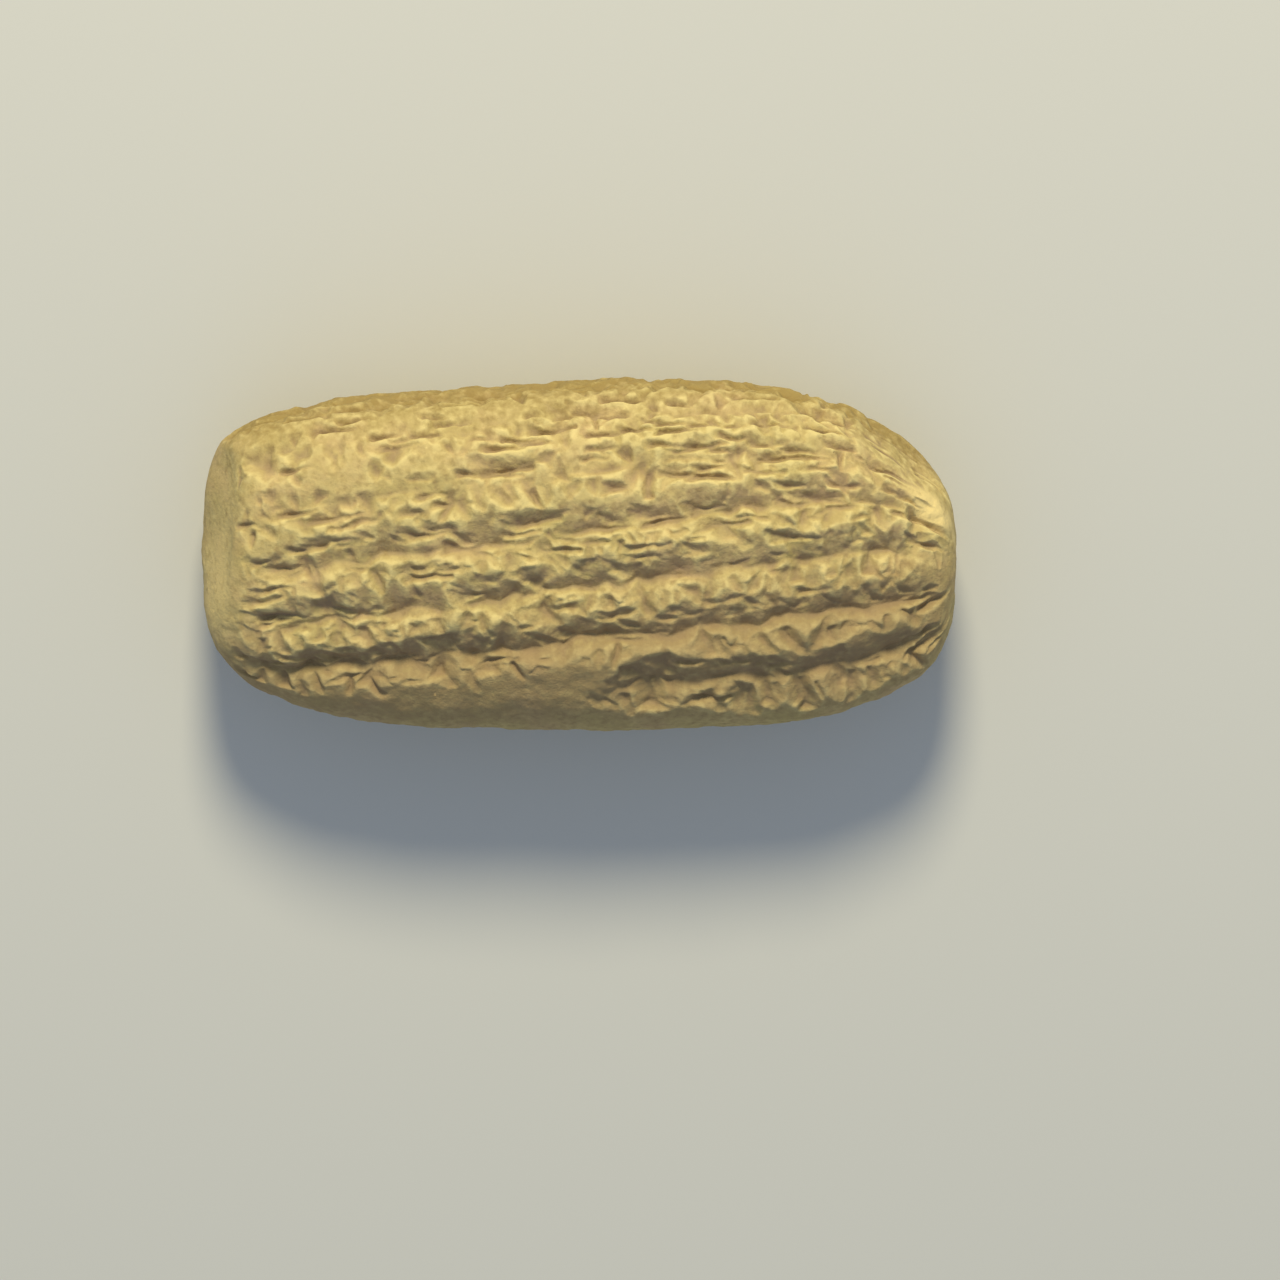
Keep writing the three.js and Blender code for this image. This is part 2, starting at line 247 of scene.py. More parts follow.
# The clay's patterns, with the size of their patches: lighter and darker mottles, broad stains, speckles of
# earth and the grit that the bump shows. The grit is drawn coarser than it is, so that it shows.
CLAY_PATTERNS = {
    "mottle": dict(size=4.0, detail=6.0, roughness=0.65),
    "stain": dict(size=7.0, detail=4.0, roughness=0.6),
    "speckle": dict(size=0.9, detail=3.0, roughness=0.5),
    "grit": dict(size=0.7, detail=5.0, roughness=0.65),
}
DARK_TAN = "#A99460"
LIGHT_TAN = "#CAB67B"
MOTTLE_RANGE = (0.3, 0.7)
SPECKLE_MIDDLE = 0.5
GRIT_HEIGHT = 0.25
GRIT_STRENGTH = 0.7
CLAY_ROUGHNESS = 0.92
CLAY_IOR = 1.45

# What lies on the tan, in the order in which it is laid: stains, earth and wear, some of them partly painted
# shade and painted light, and painted shade on the walls and the low rows. Each has its colour, the pattern
# or the attribute that it follows, how far the speckles and the mottles break it up, the values between
# which it comes in, and its greatest share.
CLAY_TINTS = {
    "green_bloom": dict(
        colour="#ABA15C", follows="stain", speckled=0.0, range=(0.5, 0.7), most=0.25),
    "rosy_bloom": dict(
        colour="#C2A17C", follows="stain", speckled=0.0, range=(0.5, 0.3), most=0.35),
    # Earth in the strokes, partly painted shade: the hollows are darkened beyond the earth that they hold.
    "earth_and_shade_in_strokes": dict(
        colour="#80695A", follows="hollow", speckled=0.9, range=(0.05, 0.9), most=0.5),
    # Painted shade: walls that face down the face, away from the key light, are darkened, more so in the
    # lower rows.
    "painted_shade_on_walls": dict(
        colour="#8C7363", follows="shaded_wall", speckled=1.2, range=(0.2, 0.9), most=0.5),
    # Rubbed crests, partly a painted highlight: what stands above the clay round about is lightened.
    "rubbed_and_lit_crests": dict(
        colour="#DDCC8C", follows="hollow", speckled=0.9, range=(-0.1, -0.8), most=0.6),
    # The knob and the left end paler: partly rubbed clay, partly painted light.
    "rubbed_and_lit_ends": dict(
        colour="#DFC98A", follows="pale", speckled=0.0, range=(0.0, 1.0), most=1.0),
    # The top edge darkened: partly brown staining and chips, partly painted shade with the olive cast of a
    # reflected wall.
    "browned_and_shaded_rim": dict(
        colour="#8C7640", follows="rim", speckled=1.6, mottled=2.0, range=(1.0, 2.0), most=0.85),
    # Painted shade that darkens the lower rows and the clay below them.
    "painted_low_shade": dict(
        colour="#917A57", follows="low_shade", speckled=1.2, range=(0.1, 1.0), most=0.65),
}

# The numbers of a colour mix's sockets: its share, the colour under, the colour over and its result.
MIX_SHARE = 0
MIX_UNDER = 6
MIX_OVER = 7
MIX_RESULT = 2

# The studio, in metres and watts: a soft key light beyond the top edge, an even fill and a pale floor.
KEY_COLOUR = "#FFF4D2"
KEY_WATTS = 10.9
KEY_DIAMETER = 0.25
KEY_DISTANCE = 1.0
KEY_ELEVATION = math.radians(36)
FILL_COLOUR = "#D4E1F6"
FILL_STRENGTH = 0.5
FLOOR_COLOUR = "#CFCFC8"
FLOOR_ROUGHNESS = 0.9
FLOOR_HALF_SIDE = 3.0

# The view, from the photograph's square frame in pixels, with its distance in metres.
PHOTO_SIDE = 1280
PHOTO_MM_PER_PIXEL = 0.12
PHOTO_TABLET_CENTRE = (578.0, 555.5)
VIEW_TILT = math.radians(18)
VIEW_DISTANCE = 1.1
SENSOR = 36.0


def chance(key):
    """A number from 0 to 1 for each key: the part after the point of a large sine."""
    wave = np.sin(np.asarray(key, float) * SINE_STEP) * SINE_HEIGHT
    return wave - np.floor(wave)


def swing(key):
    """A number from -1 to 1 for each key, in the same way."""
    return 2 * chance(key) - 1


def smooth_step(low, high, value):
    """From 0 at low to 1 at high, whichever is greater: 3t squared minus 2t cubed of the share between."""
    t = np.clip((value - low) / (high - low), 0, 1)
    return t * t * (3 - 2 * t)


def share_at(x, power):
    """The share of a full size left at x: the power-th root of 1 minus |x / half length| to that power."""
    used = np.minimum(1, np.abs(x) / HALF_LENGTH) ** power
    return (1 - used) ** (1 / power)


def pillow_at(x, angle):
    """Points of the smooth pillow: at each x a squared-up ellipse, drawn by the angle from the face."""
    up, out = np.sin(angle), np.cos(angle)
    reach = (np.abs(up) ** SECTION_POWER + np.abs(out) ** SECTION_POWER) ** (-1 / SECTION_POWER)
    left, top = x < 0, up > 0
    powers = np.where(
        top,
        np.where(left, CORNER_POWER["top_left"], CORNER_POWER["top_right"]),
        np.where(left, CORNER_POWER["bottom_left"], CORNER_POWER["bottom_right"]),
    )
    rim = HEIGHT / 2 * share_at(x, powers) * (1 + np.where(top, TOP_TILT, 0) * x / HALF_LENGTH)
    crown = np.where(out > 0, FACE_CROWN, BACK_CROWN) * share_at(x, CROWN_POWER)
    return np.stack([x + 0 * reach, rim * reach * up, RIM_Z + crown * reach * out], axis=-1)


def lengths_along(points):
    """Distance of each point from the first, along the line through them."""
    steps = np.linalg.norm(np.diff(points, axis=0), axis=1)
    return np.concatenate([[0.0], np.cumsum(steps)])


TABLE_ANGLES = np.linspace(0, math.pi, TABLE_SAMPLES)
TABLE_GIRTHS = lengths_along(pillow_at(np.zeros(TABLE_SAMPLES), TABLE_ANGLES))
HALF_GIRTH = float(TABLE_GIRTHS[-1])


def angle_at(girth):
    """The section's angle at a girth, read back from the table of lengths round the middle section."""
    return np.sign(girth) * np.interp(np.abs(girth), TABLE_GIRTHS, TABLE_ANGLES)


def row_climb(x, girth):
    """How far a row has climbed at x: a slope, a bend that grows up the face and a curl at the left.

    It is most in the middle of the face, and a cosine takes it to nothing at the edge of the fan.
    """
    fan = 0.5 + 0.5 * np.cos(math.pi * np.clip(girth / ROW_FAN, -1, 1))
    curled = np.minimum(0, x - ROW_CURL_PLACE)
    bend = ROW_BEND + ROW_SPREAD * girth
    return (ROW_SLOPE * x + bend * x * x - ROW_CURL * curled * curled) * fan


def smooth_point(x, girth):
    """The smooth pillow in the two parameters of the writing."""
    return pillow_at(x, angle_at(girth + row_climb(x, girth)))


def unit(vectors):
    """Vectors divided by their lengths."""
    return vectors / np.maximum(np.linalg.norm(vectors, axis=-1, keepdims=True), 1e-12)


def frame_at(x, girth):
    """Along the row, up across it and out of the clay, from differences over a small step."""
    step = 0.05
    along = unit(smooth_point(x + step, girth) - smooth_point(x - step, girth))
    across = unit(smooth_point(x, girth + step) - smooth_point(x, girth - step))
    out = unit(np.cross(along, across))
    return along, np.cross(out, along), out


def lattice(cell, seed):
    """A number from -1 to 1 for each whole cell, mixed from its three indices times large odd numbers."""
    cell = cell.astype(np.int64).astype(np.uint32)
    mixed = cell[..., 0] * np.uint32(374761393) + cell[..., 1] * np.uint32(668265263)
    mixed = mixed + cell[..., 2] * np.uint32(2246822519) + np.uint32(seed * 7919 + 17)
    mixed = (mixed ^ (mixed >> np.uint32(13))) * np.uint32(1274126177)
    mixed = mixed ^ (mixed >> np.uint32(16))
    return mixed.astype(float) / 2147483647.5 - 1


def noise(points, size, seed):
    """Smooth noise from -1 to 1: lattice numbers a size apart, joined by fifth-power steps each way."""
    place = points / size
    cell = np.floor(place)
    t = place - cell
    t = t * t * t * (t * (t * 6 - 15) + 10)
    total = np.zeros(points.shape[:-1])
    for corner in np.ndindex(2, 2, 2):
        near = np.array(corner)
        weight = np.prod(np.where(near == 1, t, 1 - t), axis=-1)
        total += weight * lattice(cell + near, seed)
    return total


def layered(points, layers, seed=0):
    """The layers of an unevenness added up, each its height times noise of its size."""
    return sum(height * noise(points, size, seed + own_seed) for height, size, own_seed in layers)


def spot_at(x, girth, spot):
    """A patch that is full at its middle and fades out as a bell curve of the fourth power."""
    away = ((x - spot["x"]) / spot["half_x"]) ** 2 + ((girth - spot["girth"]) / spot["half_girth"]) ** 2
    return spot["strength"] * np.exp(-away * away)


def rubbed_at(x, girth):
    """How far the face is rubbed: fully at the top left, and not in the lower rows."""
    return smooth_step(*RUBBED_GIRTHS, girth) * smooth_step(*RUBBED_PLACES, x)


def spared_at(x, girth):
    """How far a place is left out by the rows."""
    return np.maximum.reduce([spot_at(x, girth, spot) for spot in SPARED])


def wear_at(x, girth):
    """The share of its depth that a press keeps: least in the rubbed top left, full in the lower rows."""
    return (1 - RUBBED_DEPTH * rubbed_at(x, girth)) * (1 - SPARED_DEPTH * spared_at(x, girth))


def stroke_share(x, girth):
    """The share of the strokes still to be seen: all in the lower rows, and fewest at the top left."""
    lost = RUBBED_STROKES * rubbed_at(x, girth) + HIGH_STROKES * smooth_step(*HIGH_GIRTHS, girth)
    return (1 - lost) * (1 - spared_at(x, girth))


def tick_share(x, girth):
    """The share of the ticks to be seen: all but those in the spared places."""
    return 1 - spared_at(x, girth)


def tooth_share(x, girth):
    """The share of the teeth to be seen: fewer in the low rows, most of all at their left."""
    lost = TOOTH_LOSS * smooth_step(*TOOTH_LOSS_GIRTHS, girth) * smooth_step(*TOOTH_LOSS_PLACES, x)
    return (1 - lost) * (1 - spared_at(x, girth))


def every_chip(x, girth):
    """The share of the chips to be seen: all of them."""
    return 1


def stroke_kind(key):
    """The kind of stroke that a key draws, by the kinds' shares."""
    total = 0.0
    for kind, share in STROKE_SHARES.items():
        total += share
        if chance(key) < total:
            return kind
    return "slant"


def stroke_sizes(key, girth):
    """The sizes of the stroke that a key draws."""
    return PRESSES[stroke_kind(key)]


def tick_sizes(key, girth):
    """A tick's sizes: the lower rows' are shallower, being full of earth."""
    sizes = TICKS[stroke_kind(key)]
    return dict(sizes, depth=sizes["depth"] * (1 - TICK_LOSS * smooth_step(*TICK_LOSS_GIRTHS, girth)))


def tooth_sizes(key, girth):
    """A tooth's sizes."""
    return TOOTH


def chip_sizes(key, girth):
    """A chip's sizes."""
    return PRESSES["chip"]


def drawn_press(sizes, key, x, girth, drift):
    """One press: its kind's sizes, turn and place, changed a little by chance."""
    size = 1 + PRESS_SIZE_SPREAD * swing(key + DRAWS["size"])
    mirrored = "mirrors" in sizes and chance(key + DRAWS["mirror"]) < 0.5
    turn = -180 - sizes["turn"] if mirrored else sizes["turn"]
    turn += sizes["spread"] * swing(key + DRAWS["turn"])
    girth = float(girth + drift * swing(key + DRAWS["girth"]))
    return dict(
        x=x,
        girth=girth,
        turn=math.radians(turn),
        length=sizes["length"] * size,
        width=sizes["width"] * size,
        foot=sizes["foot"] * size,
        depth=sizes["depth"] * size * float(wear_at(x, girth)),
        deepest=sizes["deepest"],
        lean=sizes["lean"],
    )


def row_of_presses(start, spacing, first_key, girth, drift, sizes_for, share):
    """Presses along a row, one in each space that still shows one, at a place within it drawn by chance."""
    made = []
    for i in range(int((ROW_END - start) // spacing)):
        key = first_key + i
        x = start + (i + float(chance(key + DRAWS["place"]))) * spacing
        if chance(key + DRAWS["shown"]) < share(x, girth):
            made.append(drawn_press(sizes_for(key, girth), key, x, girth, drift))
    return made


def row_girth(row):
    """The girth of a row's bottom where the row hasn't climbed."""
    return TOP_ROW_GIRTH - row * ROW_PITCH


def row_start(row):
    """The x at which a row starts, uneven by chance."""
    if row == ROW_COUNT - 1:
        return LAST_ROW_START
    return ROW_START + ROW_START_DRIFT * float(chance(KEYS["row_start"] + row))


def groove_size(name, girth):
    """A size of the grooves at a girth, between its values at the top of the face and in its lower rows."""
    low = smooth_step(*GROOVE_TURNS, girth)
    return (1 - low) * GROOVES["top"][name] + low * GROOVES["low"][name]


def slit_in(press):
    """The cut that the stylus's edge leaves along a level stroke, deeper up the face."""
    depth = SLIT["depth"] * (1 + smooth_step(*SLIT_DEEPENS, press["girth"]))
    return dict(press, **dict(SLIT, depth=float(depth)))


def press_lists():
    """The strokes, chips and marks that the solid has, and the lesser cuts that are pressed after them."""
    bold, lesser = [], []
    for row in range(ROW_COUNT):
        girth, start, keys = row_girth(row), row_start(row), row * KEYS_PER_ROW
        bold += row_of_presses(
            start, STROKE_SPACING, KEYS["stroke"] + keys, girth, STROKE_DRIFT, stroke_sizes, stroke_share)
        lesser += row_of_presses(
            start, TICK_SPACING, KEYS["tick"] + keys, girth, TICK_DRIFT, tick_sizes, tick_share)
        lip_girth = girth - groove_size("lip", girth)
        lesser += row_of_presses(
            start, TOOTH_SPACING, KEYS["tooth"] + keys, lip_girth, TOOTH_DRIFT, tooth_sizes, tooth_share)
    level = [press for press in bold + lesser if press["lean"] < 0 and press["girth"] > SLIT_LOWEST_GIRTH]
    lesser += [slit_in(press) for press in level]
    bold += row_of_presses(
        ROW_START, CHIP_SPACING, KEYS["chip"], CHIP_GIRTH, CHIP_DRIFT, chip_sizes, every_chip)
    bold += [dict(mark, turn=math.radians(mark["turn"])) for mark in MARKS]
    return bold, lesser


def groove_knots(row):
    """A row's groove at its knots: x, the girth of its bottom, its depth and its wall's and lip's width."""
    girth, start = row_girth(row), row_start(row)
    knot = np.arange(int((ROW_END - start) // KNOT_SPACING) + 1)
    key = KEYS["knot"] + row * KEYS_PER_ROW + knot
    patch = KEYS["patch"] + row * KEYS_PER_ROW + knot // PATCH_KNOTS
    low = smooth_step(*GROOVE_TURNS, girth)
    size = {}
    for name, spread in KNOT_SPREAD.items():
        size[name] = groove_size(name, girth) * (1 + spread * swing(key + KNOT_DRAWS[name]))
    x = start + KNOT_SPACING * knot
    faded = smooth_step(0, GROOVE_FADE, x - start) * smooth_step(0, GROOVE_FADE, x[-1] - x)
    kept = faded * wear_at(x, girth)
    return dict(
        x=x,
        bottom=girth + KNOT_JAG * swing(key + KNOT_DRAWS["bottom"]),
        depth=size["depth"] * kept * (1 - PATCH_LOSS * (1 - low) * chance(patch)),
        wall=size["wall"],
        lip=size["lip"],
    )


def groove_into(depth, x, girth):
    """Adds the rows' grooves to the depth.

    From its bottom a groove rises over its wall above by the wall's power, and evenly over its lip below.
    """
    for row in range(ROW_COUNT):
        knots = groove_knots(row)
        here = {name: np.interp(x, knots["x"], knots[name]) for name in ("bottom", "depth", "wall", "lip")}
        above = girth - here["bottom"]
        wall = np.clip(1 - above / here["wall"], 0, 1) ** WALL_POWER
        lip = 1 + above / here["lip"]
        np.maximum(depth, here["depth"] * np.where(above > 0, wall, lip), out=depth)


def press_planes(press):
    """A press's slopes as depth = a tail + b side + c, from each edge of its outline to its lowest point."""
    half, foot = press["width"] / 2, press["foot"] / 2
    head, tail = -press["deepest"] * press["length"], (1 - press["deepest"]) * press["length"]
    lean = press["lean"] * half
    outline = [(head, half - lean), (head, -half - lean), (tail, -foot - lean), (tail, foot - lean)]
    planes = []
    for first, second in zip(outline, outline[1:] + outline[:1]):
        places = np.array([(*first, 1.0), (*second, 1.0), (0.0, 0.0, 1.0)])
        planes.append(np.linalg.solve(places, [0.0, 0.0, press["depth"]]))
    return planes


def press_into(depth, pushed, presses, xs, girths, points, stacked):
    """Adds presses to the depth, and the clay that they push up beside them.

    Each is the least of its slopes, and the deepest counts. What it pushes up beside it is a height times e
    to the power of minus the gap below it over a width.
    A stacked press starts from the depth already at its place, and the others from the smooth pillow.
    """
    for press in presses:
        x, girth = np.array(press["x"]), np.array(press["girth"])
        along, across, out = frame_at(x, girth)
        tailway = along * math.cos(press["turn"]) + across * math.sin(press["turn"])
        sideway = np.cross(out, tailway)
        reach = press["length"]
        columns = slice(*np.searchsorted(xs, [x - reach, x + reach]))
        lines = slice(*np.searchsorted(girths, [girth - reach, girth + reach]))
        offset = points[columns, lines] - smooth_point(x, girth)
        tail, side, height = offset @ tailway, offset @ sideway, offset @ out
        slopes = [a * tail + b * side + c for a, b, c in press_planes(press)]
        pressed = np.minimum.reduce(slopes) + height
        if stacked:
            pressed += SINK * depth[np.searchsorted(xs, x), np.searchsorted(girths, girth)]
        gap = depth[columns, lines] - pressed
        depth[columns, lines] = np.maximum(depth[columns, lines], pressed)
        raised = PUSHED_HEIGHT * np.exp(-np.abs(gap) / PUSHED_WIDTH) * (gap > 0)
        pushed[columns, lines] = np.maximum(np.where(gap < 0, 0, pushed[columns, lines]), raised)


def blurred(field, times):
    """The field averaged that many times with its neighbours, a quarter from each side, along both ways."""
    for _ in range(times):
        inner = field.copy()
        inner[1:-1] = field[1:-1] / 2 + (field[:-2] + field[2:]) / 4
        field = inner / 2 + (np.roll(inner, 1, axis=1) + np.roll(inner, -1, axis=1)) / 4
    return field


def graded(low, high, fine_low, fine_high):
    """Places from low to high, a fine step apart between the fine limits and a coarse step apart outside."""
    middle = np.linspace(fine_low, fine_high, int(round((fine_high - fine_low) / FINE_STEP)) + 1)
    before = np.linspace(low, fine_low, max(2, int(round((fine_low - low) / COARSE_STEP)) + 1))[:-1]
    after = np.linspace(fine_high, high, max(2, int(round((high - fine_high) / COARSE_STEP)) + 1))[1:]
    return np.concatenate([before, middle, after])


def column_places():
    """The x of each column, spaced by distance along the top rim, which covers the round ends evenly."""
    turn = np.linspace(-math.pi / 2, math.pi / 2, TABLE_SAMPLES)
    x = HALF_LENGTH * np.sin(turn)
    rim = pillow_at(x, np.full(TABLE_SAMPLES, math.pi / 2))
    length = lengths_along(rim)
    low, high = np.interp([-FINE_X, FINE_X], x, length)
    return np.interp(graded(0, length[-1], low, high), length, x)


def closed_mesh(name, points):
    """A closed mesh from a grid whose columns run pole to pole and whose lines close on themselves."""
    columns, lines = points.shape[0] - 2, points.shape[1]
    rings = points[1:-1].reshape(-1, 3)
    poles = np.stack([points[0].mean(axis=0), points[-1].mean(axis=0)])
    vertices = np.concatenate([rings, poles])
    column, line = np.meshgrid(np.arange(columns - 1), np.arange(lines), indexing="ij")
    beside = (line + 1) % lines
    corners = [column * lines + line, (column + 1) * lines + line]
    corners += [(column + 1) * lines + beside, column * lines + beside]
    quads = np.stack(corners, axis=-1).reshape(-1, 4)
    line = np.arange(lines)
    beside = (line + 1) % lines
    left = np.stack([np.full(lines, columns * lines), line, beside], axis=-1)
    last = (columns - 1) * lines
    right = np.stack([np.full(lines, columns * lines + 1), last + beside, last + line], axis=-1)
    loops = np.concatenate([quads.ravel(), left.ravel(), right.ravel()])
    sizes = np.concatenate([np.full(len(quads), 4), np.full(2 * lines, 3)])
    starts = np.concatenate([[0], np.cumsum(sizes)[:-1]])
    mesh = bpy.data.meshes.new(name)
    mesh.vertices.add(len(vertices))
    mesh.vertices.foreach_set("co", (vertices * MM).astype(np.float32).ravel())
    mesh.loops.add(len(loops))
    mesh.loops.foreach_set("vertex_index", loops.astype(np.int32))
    mesh.polygons.add(len(sizes))
    mesh.polygons.foreach_set("loop_start", starts.astype(np.int32))
    mesh.update(calc_edges=True)
    mesh.validate()
    mesh.shade_smooth()
    return mesh


def give(mesh, name, field):
    """Puts a grid's field on the mesh's vertices as an attribute: the rings, then the two poles."""
    values = np.concatenate([field[1:-1].ravel(), [field[0].mean(), field[-1].mean()]])
    attribute = mesh.attributes.new(name, "FLOAT", "POINT")
    attribute.data.foreach_set("value", values.astype(np.float32))


def shaved(points, flat):
    """Points beyond a flat brought back to it, with a soft edge: the overshoot is a softened ramp."""
    way = unit(np.array(flat["way"]))
    uneven = layered(points, FLAT_UNEVENNESS)
    beyond = (points @ way - flat["distance"] + uneven) / FLAT_SOFTNESS
    overshoot = FLAT_SOFTNESS * np.logaddexp(0, beyond)
    return points - way * overshoot[..., None]


def thinned(mesh):
    """The mesh with its flattest places thinned until it is under the limit of triangles."""
    carrier = bpy.data.objects.new("carrier", mesh)
    bpy.context.scene.collection.objects.link(carrier)
    triangles = len(mesh.loops) - 2 * len(mesh.polygons)
    thin = carrier.modifiers.new("thin", "DECIMATE")
    thin.ratio = min(1, MOST_TRIANGLES / triangles)
    view = bpy.context.evaluated_depsgraph_get()
    result = bpy.data.meshes.new_from_object(carrier.evaluated_get(view), depsgraph=view)
    bpy.data.objects.remove(carrier)
    return result


def pressed_relief(x, girth, xs, girths, smooth):
    """How far the pressed clay stands from the smooth pillow: what is pushed up less what is pressed in.

    The presses meet points that wobble off the pillow, which makes their outlines uneven. The crests between
    the bold presses are worn down to little above their surroundings before the lesser cuts are made.
    """
    depth, pushed = np.zeros(x.shape), np.zeros(x.shape)
    bold, lesser = press_lists()
    wobble = np.stack([layered(smooth, WOBBLE, seed) for seed in WOBBLE_SEEDS], axis=-1)
    groove_into(depth, x + wobble[..., 0], girth + wobble[..., 1])
    press_into(depth, pushed, bold, xs, girths, smooth + wobble, False)
    depth = -np.minimum(-depth, blurred(-depth, CREST_ROUNDS) + CREST_HEIGHT)
    press_into(depth, pushed, lesser, xs, girths, smooth + wobble, True)
    return blurred(pushed - depth, EDGE_ROUNDS)


def give_wear_and_shade(mesh, x, girth, girths, relief):
    """Gives the mesh what its colour follows.

    Walls that rise up the face, by their slope, are the shaded walls that take painted shade, and hollow is
    the depth below the clay round about. Pale patches, the browned and shaded rim and the painted shade of
    the low rows come in by place.
    """
    slope = np.gradient(blurred(relief, WALL_SHADE_ROUNDS), girths, axis=1)
    share = WALL_SHADE_TOP_SHARE + (1 - WALL_SHADE_TOP_SHARE) * smooth_step(*WALL_SHADE_GIRTHS, girth)
    below = blurred(relief, HOLLOW_ROUNDS) - relief
    from_middle = np.abs(x)
    # The band along the top edge, for its browning and its painted shade.
    rim = smooth_step(*RIM_FRONT, girth) * smooth_step(*RIM_BACK, girth)
    # Painted shade over the lower rows, darker down the face.
    low_shade = smooth_step(*LOW_SHADE_TOP, girth) * smooth_step(*LOW_SHADE_BOTTOM, girth)
    # Pale patches at the knob and the left end, partly painted light.
    give(mesh, "pale", np.maximum.reduce([spot_at(x, girth, spot) for spot in PALE_SPOTS]))
    # Painted shade on the walls that face down, by their slope, growing down the face.
    give(mesh, "shaded_wall", np.clip(slope / FULLY_SHADED_SLOPE, 0, 1) * share)
    give(mesh, "rim", rim * smooth_step(*RIM_ENDS, from_middle))
    give(mesh, "low_shade", low_shade * smooth_step(*LOW_SHADE_ENDS, from_middle))
    # Hollow clay takes earth and painted shade; raised clay takes rubbing and a painted highlight.
    give(mesh, "hollow", np.clip(below / HOLLOW_DEPTH, -1, 1))


def make_tablet():
    """The tablet: the smooth pillow with its relief and unevenness, less its flats and its rest."""
    xs = column_places()
    girths = graded(-HALF_GIRTH, HALF_GIRTH, *FINE_GIRTH)[:-1]
    x, girth = np.meshgrid(xs, girths, indexing="ij")
    smooth = smooth_point(x, girth)
    inner = HALF_LENGTH - POLE_MARGIN
    out = frame_at(np.clip(x, -inner, inner), girth)[2]
    relief = pressed_relief(x, girth, xs, girths, smooth)
    points = smooth + out * (relief + layered(smooth, SWELL) + layered(smooth, GRAIN))[..., None]
    for flat in FLATS.values():
        points = shaved(points, flat)
    points[..., 2] = np.maximum(points[..., 2], 0)
    mesh = closed_mesh("inscribed_tablet", points)
    give_wear_and_shade(mesh, x, girth, girths, relief)
    mesh = thinned(mesh)
    tablet = bpy.data.objects.new("inscribed_tablet", mesh)
    bpy.context.scene.collection.objects.link(tablet)
    tablet.data.materials.append(dry_clay())
    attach(tablet, "root")
    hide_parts("clay_tablet")


def linear(hex_colour):
    """An sRGB hex value as linear red, green, blue and alpha."""
    values = [int(hex_colour[i:i + 2], 16) / 255 for i in (1, 3, 5)]
    return [v / 12.92 if v <= 0.04045 else ((v + 0.055) / 1.055) ** 2.4 for v in values] + [1.0]


def add(tree, kind, inputs=None, **settings):
    """Adds a node with its settings, and sets or links its inputs by name or number."""
    node = tree.nodes.new(kind)
    for name, value in settings.items():
        setattr(node, name, value)
    for name, value in (inputs or {}).items():
        if isinstance(value, bpy.types.NodeSocket):
            tree.links.new(value, node.inputs[name])
        else:
            node.inputs[name].default_value = value
    return node


def new_material(name):
    """An empty material and its node tree."""
    material = bpy.data.materials.new(name)
    material.use_nodes = True
    material.node_tree.nodes.clear()
    return material, material.node_tree


def dry_clay():
    """Dry river clay patted by hand: a matt tan, with earth and painted shade in the strokes, and pale
    crests that are rubbed and carry a painted highlight.

    Sun-dried clay has no gloss, so it stays rough all over and only its colour and its grit vary.
    """
    material, tree = new_material("dry_tan_clay")
    place = add(tree, "ShaderNodeTexCoord").outputs["Object"]
    values = {}
    for name, pattern in CLAY_PATTERNS.items():
        values[name] = add(tree, "ShaderNodeTexNoise", {
            "Vector": place, "Scale": 1 / (pattern["size"] * MM),
            "Detail": pattern["detail"], "Roughness": pattern["roughness"]}).outputs["Fac"]
    for name in ("hollow", "shaded_wall", "pale", "rim", "low_shade"):
        values[name] = add(tree, "ShaderNodeAttribute", attribute_name=name).outputs["Fac"]
    middled = {0: values["speckle"], 1: SPECKLE_MIDDLE}
    speckles = add(tree, "ShaderNodeMath", middled, operation="SUBTRACT").outputs[0]
    low, high = MOTTLE_RANGE
    share = add(tree, "ShaderNodeMapRange", {"Value": values["mottle"], "From Min": low, "From Max": high})
    tan = {MIX_SHARE: share.outputs[0], MIX_UNDER: linear(DARK_TAN), MIX_OVER: linear(LIGHT_TAN)}
    colour = add(tree, "ShaderNodeMix", tan, data_type="RGBA").outputs[MIX_RESULT]
    for tint in CLAY_TINTS.values():
        followed = {0: speckles, 1: tint["speckled"], 2: values[tint["follows"]]}
        value = add(tree, "ShaderNodeMath", followed, operation="MULTIPLY_ADD").outputs[0]
        if "mottled" in tint:
            blotches = {0: values["mottle"], 1: tint["mottled"], 2: value}
            value = add(tree, "ShaderNodeMath", blotches, operation="MULTIPLY_ADD").outputs[0]
        low, high = tint["range"]
        share = add(tree, "ShaderNodeMapRange", {
            "Value": value, "From Min": low, "From Max": high, "To Max": tint["most"]})
        laid = {MIX_SHARE: share.outputs[0], MIX_UNDER: colour, MIX_OVER: linear(tint["colour"])}
        colour = add(tree, "ShaderNodeMix", laid, data_type="RGBA").outputs[MIX_RESULT]
    bump = add(tree, "ShaderNodeBump", {
        "Height": values["grit"], "Distance": GRIT_HEIGHT * MM, "Strength": GRIT_STRENGTH})
    shader = add(tree, "ShaderNodeBsdfPrincipled", {
        "Base Color": colour, "Roughness": CLAY_ROUGHNESS, "IOR": CLAY_IOR,
        "Normal": bump.outputs["Normal"]})
    add(tree, "ShaderNodeOutputMaterial", {"Surface": shader.outputs["BSDF"]})
    return material


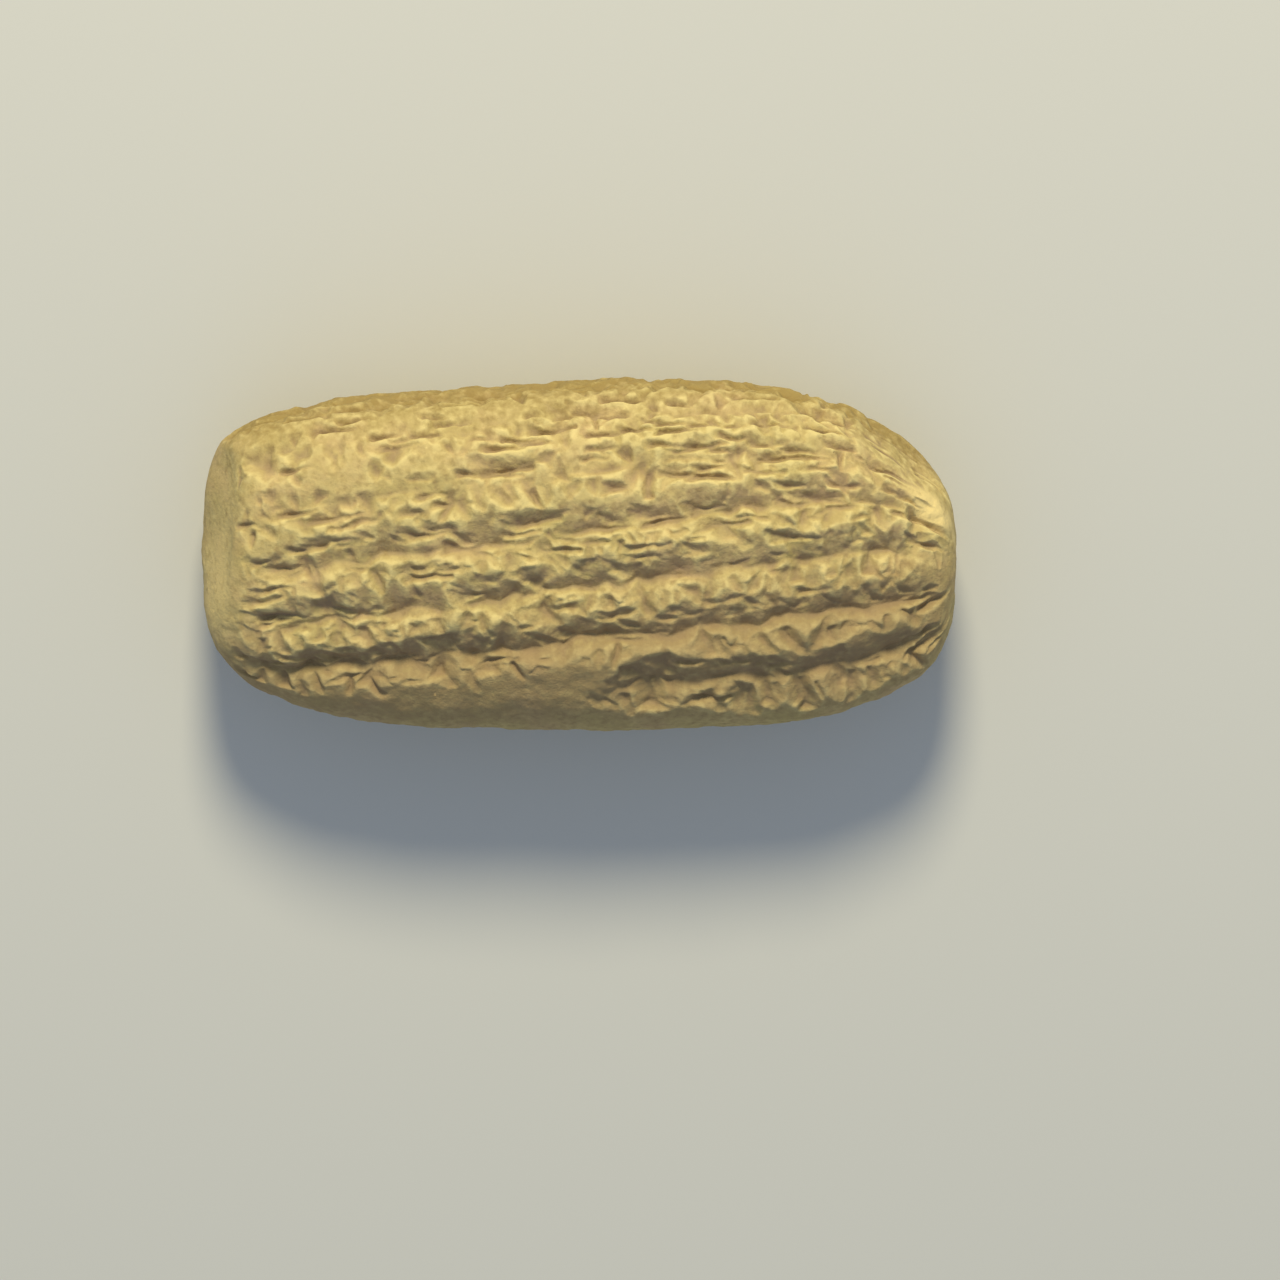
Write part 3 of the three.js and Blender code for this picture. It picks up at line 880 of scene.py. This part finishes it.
def make_floor():
    """A plain pale floor, matt as painted board is, with its top at the tablet's rest."""
    side = FLOOR_HALF_SIDE
    corners = [(-side, -side, 0), (side, -side, 0), (side, side, 0), (-side, side, 0)]
    mesh = bpy.data.meshes.new("floor")
    mesh.from_pydata(corners, [], [(0, 1, 2, 3)])
    floor = bpy.data.objects.new("floor", mesh)
    bpy.context.scene.collection.objects.link(floor)
    material, tree = new_material("pale_floor")
    shader = add(tree, "ShaderNodeBsdfPrincipled", {
        "Base Color": linear(FLOOR_COLOUR), "Roughness": FLOOR_ROUGHNESS})
    add(tree, "ShaderNodeOutputMaterial", {"Surface": shader.outputs["BSDF"]})
    mesh.materials.append(material)


def make_light():
    """One broad soft light from beyond the top edge, and an even fill from all round."""
    lamp = bpy.data.lights.new("soft_key", "AREA")
    lamp.shape = "DISK"
    lamp.size = KEY_DIAMETER
    lamp.energy = KEY_WATTS
    lamp.color = linear(KEY_COLOUR)[:3]
    key = bpy.data.objects.new("soft_key", lamp)
    key.location = (0, KEY_DISTANCE * math.cos(KEY_ELEVATION), KEY_DISTANCE * math.sin(KEY_ELEVATION))
    key.rotation_euler = (KEY_ELEVATION - math.pi / 2, 0, 0)
    bpy.context.scene.collection.objects.link(key)
    world = bpy.data.worlds.new("studio")
    bpy.context.scene.world = world
    world.use_nodes = True
    background = world.node_tree.nodes["Background"]
    background.inputs["Color"].default_value = linear(FILL_COLOUR)
    background.inputs["Strength"].default_value = FILL_STRENGTH


def make_camera():
    """The photograph's view: down on the face from beyond its top edge, with its place in the frame."""
    pixel = PHOTO_MM_PER_PIXEL * MM
    lens = bpy.data.cameras.new("photo_view")
    lens.sensor_width = SENSOR
    lens.lens = SENSOR * VIEW_DISTANCE / (PHOTO_SIDE * pixel)
    camera = bpy.data.objects.new("photo_view", lens)
    right = np.array([1.0, 0.0, 0.0])
    up = np.array([0.0, math.cos(VIEW_TILT), -math.sin(VIEW_TILT)])
    back = np.array([0.0, math.sin(VIEW_TILT), math.cos(VIEW_TILT)])
    across, down = (place - PHOTO_SIDE / 2 for place in PHOTO_TABLET_CENTRE)
    aim = np.array([0.0, 0.0, RIM_Z * MM]) - right * across * pixel + up * down * pixel
    camera.location = aim + back * VIEW_DISTANCE
    camera.rotation_euler = (-VIEW_TILT, 0, 0)
    bpy.context.scene.collection.objects.link(camera)
    bpy.context.scene.camera = camera


bpy.context.scene.view_settings.view_transform = "Standard"
make_camera()
make_light()
make_floor()
make_tablet()
